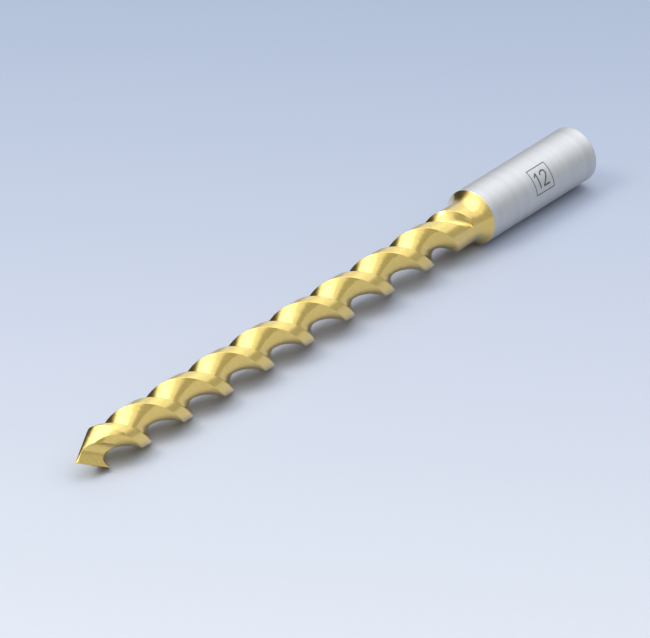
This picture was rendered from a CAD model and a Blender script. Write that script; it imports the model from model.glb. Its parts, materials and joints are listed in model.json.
import json
import math

import bpy
from mathutils import Matrix, Vector

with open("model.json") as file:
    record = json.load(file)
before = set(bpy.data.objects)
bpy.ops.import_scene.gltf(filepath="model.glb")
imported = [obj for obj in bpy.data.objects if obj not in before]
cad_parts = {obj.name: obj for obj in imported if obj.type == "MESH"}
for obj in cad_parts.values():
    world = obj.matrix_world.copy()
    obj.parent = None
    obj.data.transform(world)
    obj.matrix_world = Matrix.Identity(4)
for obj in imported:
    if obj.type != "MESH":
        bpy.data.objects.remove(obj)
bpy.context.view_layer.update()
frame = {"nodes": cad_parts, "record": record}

# Sizes, in metres. The shank's end comes from the frame, and the point lies one length down the axis.
MM = 0.001
LENGTH = 222 * MM
RIM = 174 * MM
SHANK_RADIUS = 8 * MM
MOUNTS = {mount["name"]: mount for mount in frame["record"]["mounts"]}
AXIS = Vector(MOUNTS["shank_end"]["axis"]).normalized()
SHANK_END = Vector(MOUNTS["shank_end"]["pos_m"])
TIP = SHANK_END - AXIS * LENGTH

# The picture in pixels, the point's place in it, and the camera's distance from the point and its angles.
PICTURE_WIDTH = 650
PICTURE_HEIGHT = 638
TIP_ACROSS = 75.5
TIP_DOWN = 463.2
FOCAL_PIXELS = 12076
TIP_DEPTH = 3.156
SENSOR_WIDTH = 36
CLIP_START = 0.1
CLIP_END = 50
HEADING = math.radians(37.04)
ELEVATION = math.radians(27.12)


class Graph:
    """A short way to write a node tree: each call adds one node and returns its output."""

    def __init__(self, tree):
        self.tree = tree
        tree.nodes.clear()

    def node(self, kind, inputs=None, output=0, **settings):
        made = self.tree.nodes.new(kind)
        for name, value in settings.items():
            setattr(made, name, value)
        for key, value in (inputs or {}).items():
            if isinstance(value, bpy.types.NodeSocket):
                self.tree.links.new(value, made.inputs[key])
            else:
                made.inputs[key].default_value = value
        return made.outputs[output] if len(made.outputs) else None

    def math(self, operation, first, second=0.0, clamp=False):
        return self.node("ShaderNodeMath", {0: first, 1: second}, operation=operation, use_clamp=clamp)

    def vector(self, operation, first, second=(0, 0, 0), output=0):
        return self.node("ShaderNodeVectorMath", {0: first, 1: second}, output, operation=operation)

    def mix(self, factor, first, second):
        return self.node("ShaderNodeMix", {0: factor, 6: first, 7: second}, 2, data_type="RGBA")

    def blend(self, factor, first, second):
        return self.node("ShaderNodeMix", {0: factor, 2: first, 3: second}, 0, data_type="FLOAT")

    def smooth(self, value, low, high):
        return self.node(
            "ShaderNodeMapRange", {0: value, 1: low, 2: high, 3: 0.0, 4: 1.0}, interpolation_type="SMOOTHSTEP"
        )

    def noise(self, vector, scale, detail=2.0, roughness=0.5):
        return self.node(
            "ShaderNodeTexNoise", {"Vector": vector, "Scale": scale, "Detail": detail, "Roughness": roughness}
        )


def linear(red, green, blue):
    """A colour as it shows, in 0 to 255, as linear light."""
    def one(value):
        value /= 255
        return value / 12.92 if value <= 0.04045 else ((value + 0.055) / 1.055) ** 2.4
    return (one(red), one(green), one(blue), 1.0)


# The number etched in the shank: its place along the axis and round it, and its strokes in millimetres.
MARK_ALONG = 197.7 * MM
MARK_TURN = math.radians(57.5)
MARK_OUT = Vector((0, -math.sin(MARK_TURN), math.cos(MARK_TURN)))
MARK_UP = Vector((0, math.cos(MARK_TURN), math.sin(MARK_TURN)))
FRAME_HALF = (3.9, 3.7)
FRAME_STROKE = [(-1, -1), (1, -1), (1, 1), (-1, 1), (-1, -1)]
ONE_STROKE = [(-2.6, 1.3), (-1.7, 2.1), (-1.7, -2.1)]
TWO_STROKE = [
    (-0.2, 1.2), (0.2, 1.85), (1.05, 2.1), (1.9, 1.75), (2.1, 1.0), (1.6, 0.0), (-0.2, -2.1), (2.2, -2.1),
]
# How far from the middle of a stroke its ink ends and how far it is full, in millimetres.
FRAME_INK = (0.19, 0.11)
DIGIT_INK = (0.29, 0.2)
INK_TONE = linear(62, 64, 68)
INK_COVER = 0.85
INK_DEPTH = 0.8

# The two finishes, each between two tones and two roughnesses, and the depth of their grain.
GOLD_TONES = (linear(230, 193, 73), linear(237, 200, 82))
GOLD_ROUGHNESS = (0.2, 0.24)
COAT_ROUGHNESS = 0.12
COAT_IOR = 2.06
SILVER_TONES = (linear(200, 198, 195), linear(207, 205, 202))
SILVER_ROUGHNESS = (0.5, 0.56)
RIM_BLUR = 0.05 * MM
RING_SCALE = 5200
BAND_SCALE = 420
SPECK_SCALE = 900
GRAIN_DETAIL = (3.0, 0.6)
SPECK_HEIGHT = 0.25
BUMP_STRENGTH = 0.1
BUMP_DISTANCE = 0.03 * MM
EDGE_RADIUS = 0.2 * MM
EDGE_SAMPLES = 6

# Faces that meet at less than this angle shade as one, where their corners lie on the same micrometre.
SMOOTH_ANGLE = math.radians(25)
PLACES_PER_METRE = 1e6


def nearest_stroke(graph, point, corners):
    """The distance from a point to a line through the corners, all in millimetres."""
    nearest = None
    for (first_x, first_y), (last_x, last_y) in zip(corners, corners[1:]):
        run = Vector((last_x - first_x, last_y - first_y, 0))
        reach = graph.vector("SUBTRACT", point, (first_x, first_y, 0))
        share = graph.vector("DOT_PRODUCT", reach, tuple(run / run.length_squared), output=1)
        step = graph.vector("SCALE", tuple(run))
        graph.tree.links.new(graph.math("ADD", share, 0.0, clamp=True), step.node.inputs["Scale"])
        distance = graph.vector("LENGTH", graph.vector("SUBTRACT", reach, step), output=1)
        nearest = distance if nearest is None else graph.math("MINIMUM", nearest, distance)
    return nearest


def etched_mark(graph, along, outward):
    """One on the strokes of a framed number on the shank, and none elsewhere."""
    across = graph.math("MULTIPLY", graph.math("SUBTRACT", along, MARK_ALONG), 1 / MM)
    turned = graph.math(
        "ARCTAN2",
        graph.vector("DOT_PRODUCT", outward, tuple(MARK_UP), output=1),
        graph.vector("DOT_PRODUCT", outward, tuple(MARK_OUT), output=1),
    )
    around = graph.math("MULTIPLY", turned, SHANK_RADIUS / MM)
    point = graph.node("ShaderNodeCombineXYZ", {0: across, 1: around})
    border = [(x * FRAME_HALF[0], y * FRAME_HALF[1]) for x, y in FRAME_STROKE]
    frame_line = nearest_stroke(graph, point, border)
    digits = graph.math(
        "MINIMUM", nearest_stroke(graph, point, ONE_STROKE), nearest_stroke(graph, point, TWO_STROKE)
    )
    return graph.math("MAXIMUM", graph.smooth(frame_line, *FRAME_INK), graph.smooth(digits, *DIGIT_INK))


def drill_material(material):
    """Gold coating from the point to the shank's rim and ground steel behind it."""
    material.use_nodes = True
    graph = Graph(material.node_tree)
    place = graph.node("ShaderNodeTexCoord", output=3)
    from_tip = graph.vector("SUBTRACT", place, tuple(TIP))
    along = graph.vector("DOT_PRODUCT", from_tip, tuple(AXIS), output=1)
    on_axis = graph.vector("SCALE", tuple(AXIS))
    graph.tree.links.new(along, on_axis.node.inputs["Scale"])
    outward = graph.vector("SUBTRACT", from_tip, on_axis)
    steel = graph.smooth(along, RIM - RIM_BLUR, RIM + RIM_BLUR)

    # Grinding on the shank runs round it, so its grain changes along the axis alone.
    rings = graph.node("ShaderNodeCombineXYZ", {0: along, 1: 0.0, 2: 0.0})
    ring = graph.noise(rings, RING_SCALE, *GRAIN_DETAIL)
    band = graph.noise(rings, BAND_SCALE)
    speck = graph.noise(from_tip, SPECK_SCALE, *GRAIN_DETAIL)

    mark = graph.math("MULTIPLY", etched_mark(graph, along, outward), steel)
    gold = graph.mix(graph.smooth(speck, 0.35, 0.7), *GOLD_TONES)
    silver = graph.mix(graph.smooth(band, 0.3, 0.7), *SILVER_TONES)
    silver = graph.mix(graph.math("MULTIPLY", mark, INK_COVER), silver, INK_TONE)
    rough_gold = graph.blend(graph.smooth(speck, 0.3, 0.75), *GOLD_ROUGHNESS)
    rough_silver = graph.blend(graph.smooth(ring, 0.3, 0.7), *SILVER_ROUGHNESS)
    height = graph.math(
        "ADD", graph.math("MULTIPLY", ring, steel), graph.math("MULTIPLY", speck, SPECK_HEIGHT)
    )
    height = graph.math("SUBTRACT", height, graph.math("MULTIPLY", mark, INK_DEPTH))
    worn_edge = graph.node("ShaderNodeBevel", {"Radius": EDGE_RADIUS}, samples=EDGE_SAMPLES)
    bump = graph.node("ShaderNodeBump", {
        "Strength": BUMP_STRENGTH,
        "Distance": BUMP_DISTANCE,
        "Height": height,
        "Normal": worn_edge,
    })
    shader = graph.node("ShaderNodeBsdfPrincipled", {
        "Base Color": graph.mix(steel, gold, silver),
        "Metallic": 1.0,
        "Roughness": graph.blend(steel, rough_gold, rough_silver),
        "Coat Weight": graph.math("SUBTRACT", 1.0, steel),
        "Coat Roughness": COAT_ROUGHNESS,
        "Coat IOR": COAT_IOR,
        "Normal": bump,
    })
    graph.node("ShaderNodeOutputMaterial", {"Surface": shader})


def smooth_corner_normals(mesh):
    """Normals that run on over a border where two faces meet without an edge."""
    mesh.polygons.foreach_set("use_smooth", [True] * len(mesh.polygons))
    places = [tuple(round(value * PLACES_PER_METRE) for value in vertex.co) for vertex in mesh.vertices]
    around = {}
    for polygon in mesh.polygons:
        for corner in polygon.vertices:
            around.setdefault(places[corner], []).append((polygon.normal.copy(), polygon.area))
    closest = math.cos(SMOOTH_ANGLE)
    normals = []
    for polygon in mesh.polygons:
        for corner in polygon.vertices:
            total = Vector((0, 0, 0))
            for normal, weight in around[places[corner]]:
                if normal.dot(polygon.normal) > closest:
                    total += normal * weight
            normals.append(total.normalized() if total.length else polygon.normal.copy())
    mesh.normals_split_custom_set(normals)


drill = frame["nodes"]["twist_drill"]
for slot in drill.material_slots:
    drill_material(slot.material)
smooth_corner_normals(drill.data)


def add_mesh(name, corners, faces):
    mesh = bpy.data.meshes.new(name)
    mesh.from_pydata(corners, [], faces)
    made = bpy.data.objects.new(name, mesh)
    bpy.context.scene.collection.objects.link(made)
    return made


FLOOR_HALF = 6.0
# Where the paper's tone turns along the camera's heading, and the tones to be seen in this light.
PAPER_NEAR = -0.17
PAPER_MIDDLE = 0.01
PAPER_FAR = 0.2
PAPER_LIGHT = (1.46, 1.53, 1.6)
NEAR_TONES = (linear(228, 235, 245), linear(231, 238, 248))
MIDDLE_TONE = linear(209, 218, 236)
FAR_TONE = linear(180, 195, 219)
PAPER_GRAIN = 300
PAPER_ROUGHNESS = 0.9


def dimmed(colour):
    """The paper's own colour, given the one to be seen under PAPER_LIGHT."""
    return tuple(channel / light for channel, light in zip(colour, PAPER_LIGHT)) + (1.0,)


floor = add_mesh("floor", [
    (-FLOOR_HALF, -FLOOR_HALF, 0), (FLOOR_HALF, -FLOOR_HALF, 0),
    (FLOOR_HALF, FLOOR_HALF, 0), (-FLOOR_HALF, FLOOR_HALF, 0),
], [(0, 1, 2, 3)])
paper = bpy.data.materials.new("paper")
paper.use_nodes = True
paper_graph = Graph(paper.node_tree)
paper_place = paper_graph.node("ShaderNodeTexCoord", output=3)
ahead = paper_graph.vector("DOT_PRODUCT", paper_place, (math.cos(HEADING), math.sin(HEADING), 0), output=1)
fade_near = paper_graph.node("ShaderNodeMapRange", {0: ahead, 1: PAPER_NEAR, 2: PAPER_MIDDLE, 3: 0.0, 4: 1.0})
fade_far = paper_graph.node("ShaderNodeMapRange", {0: ahead, 1: PAPER_MIDDLE, 2: PAPER_FAR, 3: 0.0, 4: 1.0})
grain = paper_graph.noise(paper_place, PAPER_GRAIN)
near_colour = paper_graph.mix(grain, *map(dimmed, NEAR_TONES))
paper_colour = paper_graph.mix(fade_near, near_colour, dimmed(MIDDLE_TONE))
paper_colour = paper_graph.mix(fade_far, paper_colour, dimmed(FAR_TONE))
paper_shader = paper_graph.node(
    "ShaderNodeBsdfPrincipled", {"Base Color": paper_colour, "Roughness": PAPER_ROUGHNESS}
)
paper_graph.node("ShaderNodeOutputMaterial", {"Surface": paper_shader})
floor.data.materials.append(paper)

ahead_dir = Vector((
    math.cos(ELEVATION) * math.cos(HEADING),
    math.cos(ELEVATION) * math.sin(HEADING),
    -math.sin(ELEVATION),
))
right_dir = Vector((math.sin(HEADING), -math.cos(HEADING), 0))
up_dir = right_dir.cross(ahead_dir)
tip_right = (TIP_ACROSS - PICTURE_WIDTH / 2) * TIP_DEPTH / FOCAL_PIXELS
tip_up = (PICTURE_HEIGHT / 2 - TIP_DOWN) * TIP_DEPTH / FOCAL_PIXELS

camera_data = bpy.data.cameras.new("camera")
camera = bpy.data.objects.new("camera", camera_data)
bpy.context.scene.collection.objects.link(camera)
camera_data.sensor_fit = "HORIZONTAL"
camera_data.sensor_width = SENSOR_WIDTH
camera_data.lens = SENSOR_WIDTH * FOCAL_PIXELS / PICTURE_WIDTH
camera_data.clip_start = CLIP_START
camera_data.clip_end = CLIP_END
camera.matrix_world = Matrix.Translation(
    TIP - right_dir * tip_right - up_dir * tip_up - ahead_dir * TIP_DEPTH
) @ Matrix((
    (right_dir.x, up_dir.x, -ahead_dir.x, 0),
    (right_dir.y, up_dir.y, -ahead_dir.y, 0),
    (right_dir.z, up_dir.z, -ahead_dir.z, 0),
    (0, 0, 0, 1),
))
bpy.context.scene.camera = camera


def studio_direction(left, height):
    """A direction by its angle to the left of the camera's heading and its height, in degrees."""
    level = math.cos(math.radians(height))
    turn = HEADING + math.radians(left)
    return Vector((level * math.cos(turn), level * math.sin(turn), math.sin(math.radians(height))))


# The lamp stands to the left of the camera's heading and casts the shadow to the lower right.
KEY_LEFT = 112
KEY_HEIGHT = 52
KEY_DISTANCE = 1.4
KEY_SIZE = 0.5
KEY_POWER = 6
KEY_TONE = (1, 0.95, 0.84)

key_data = bpy.data.lights.new("key", "AREA")
key_data.shape = "RECTANGLE"
key_data.size = KEY_SIZE
key_data.size_y = KEY_SIZE
key_data.energy = KEY_POWER
key_data.color = KEY_TONE
key = bpy.data.objects.new("key", key_data)
key.location = studio_direction(KEY_LEFT, KEY_HEIGHT) * KEY_DISTANCE
key.rotation_euler = (-key.location).to_track_quat("-Z", "Y").to_euler()
bpy.context.scene.collection.objects.link(key)

# Round patches of the surroundings: the angle to the left of the heading, the height, and the half angles
# inside which the patch is full and outside which it ends, all in degrees. Then the light of each.
CEILING = (-60, 80, 46, 62)
ZENITH = (-30, 82, 10, 42)
BACKDROP = (-16, 24, 12, 28)
DARK_SIDE = (54, 16, 18, 42)
AROUND_LIGHT = 0.56
CEILING_LIGHT = 1.28
BACKDROP_LIGHT = 1.12
DARK_LIGHT = 0.07
ZENITH_LIGHT = 1.5
SKY_TONE = linear(238, 245, 255)

world = bpy.data.worlds.new("studio")
bpy.context.scene.world = world
world.use_nodes = True
world_graph = Graph(world.node_tree)
sky = world_graph.node("ShaderNodeTexCoord", output=0)


def sky_patch(left, height, inner, outer):
    """One inside a round patch of the surroundings and none outside it, by its half angles in degrees."""
    facing = world_graph.vector("DOT_PRODUCT", sky, tuple(studio_direction(left, height)), output=1)
    return world_graph.smooth(facing, math.cos(math.radians(outer)), math.cos(math.radians(inner)))


strength = world_graph.blend(sky_patch(*CEILING), AROUND_LIGHT, CEILING_LIGHT)
strength = world_graph.blend(sky_patch(*BACKDROP), strength, BACKDROP_LIGHT)
strength = world_graph.blend(sky_patch(*DARK_SIDE), strength, DARK_LIGHT)
strength = world_graph.math("ADD", strength, world_graph.math("MULTIPLY", sky_patch(*ZENITH), ZENITH_LIGHT))
world_light = world_graph.node("ShaderNodeBackground", {"Color": SKY_TONE, "Strength": strength})
world_graph.node("ShaderNodeOutputWorld", {"Surface": world_light})

bpy.context.scene.view_settings.view_transform = "Standard"
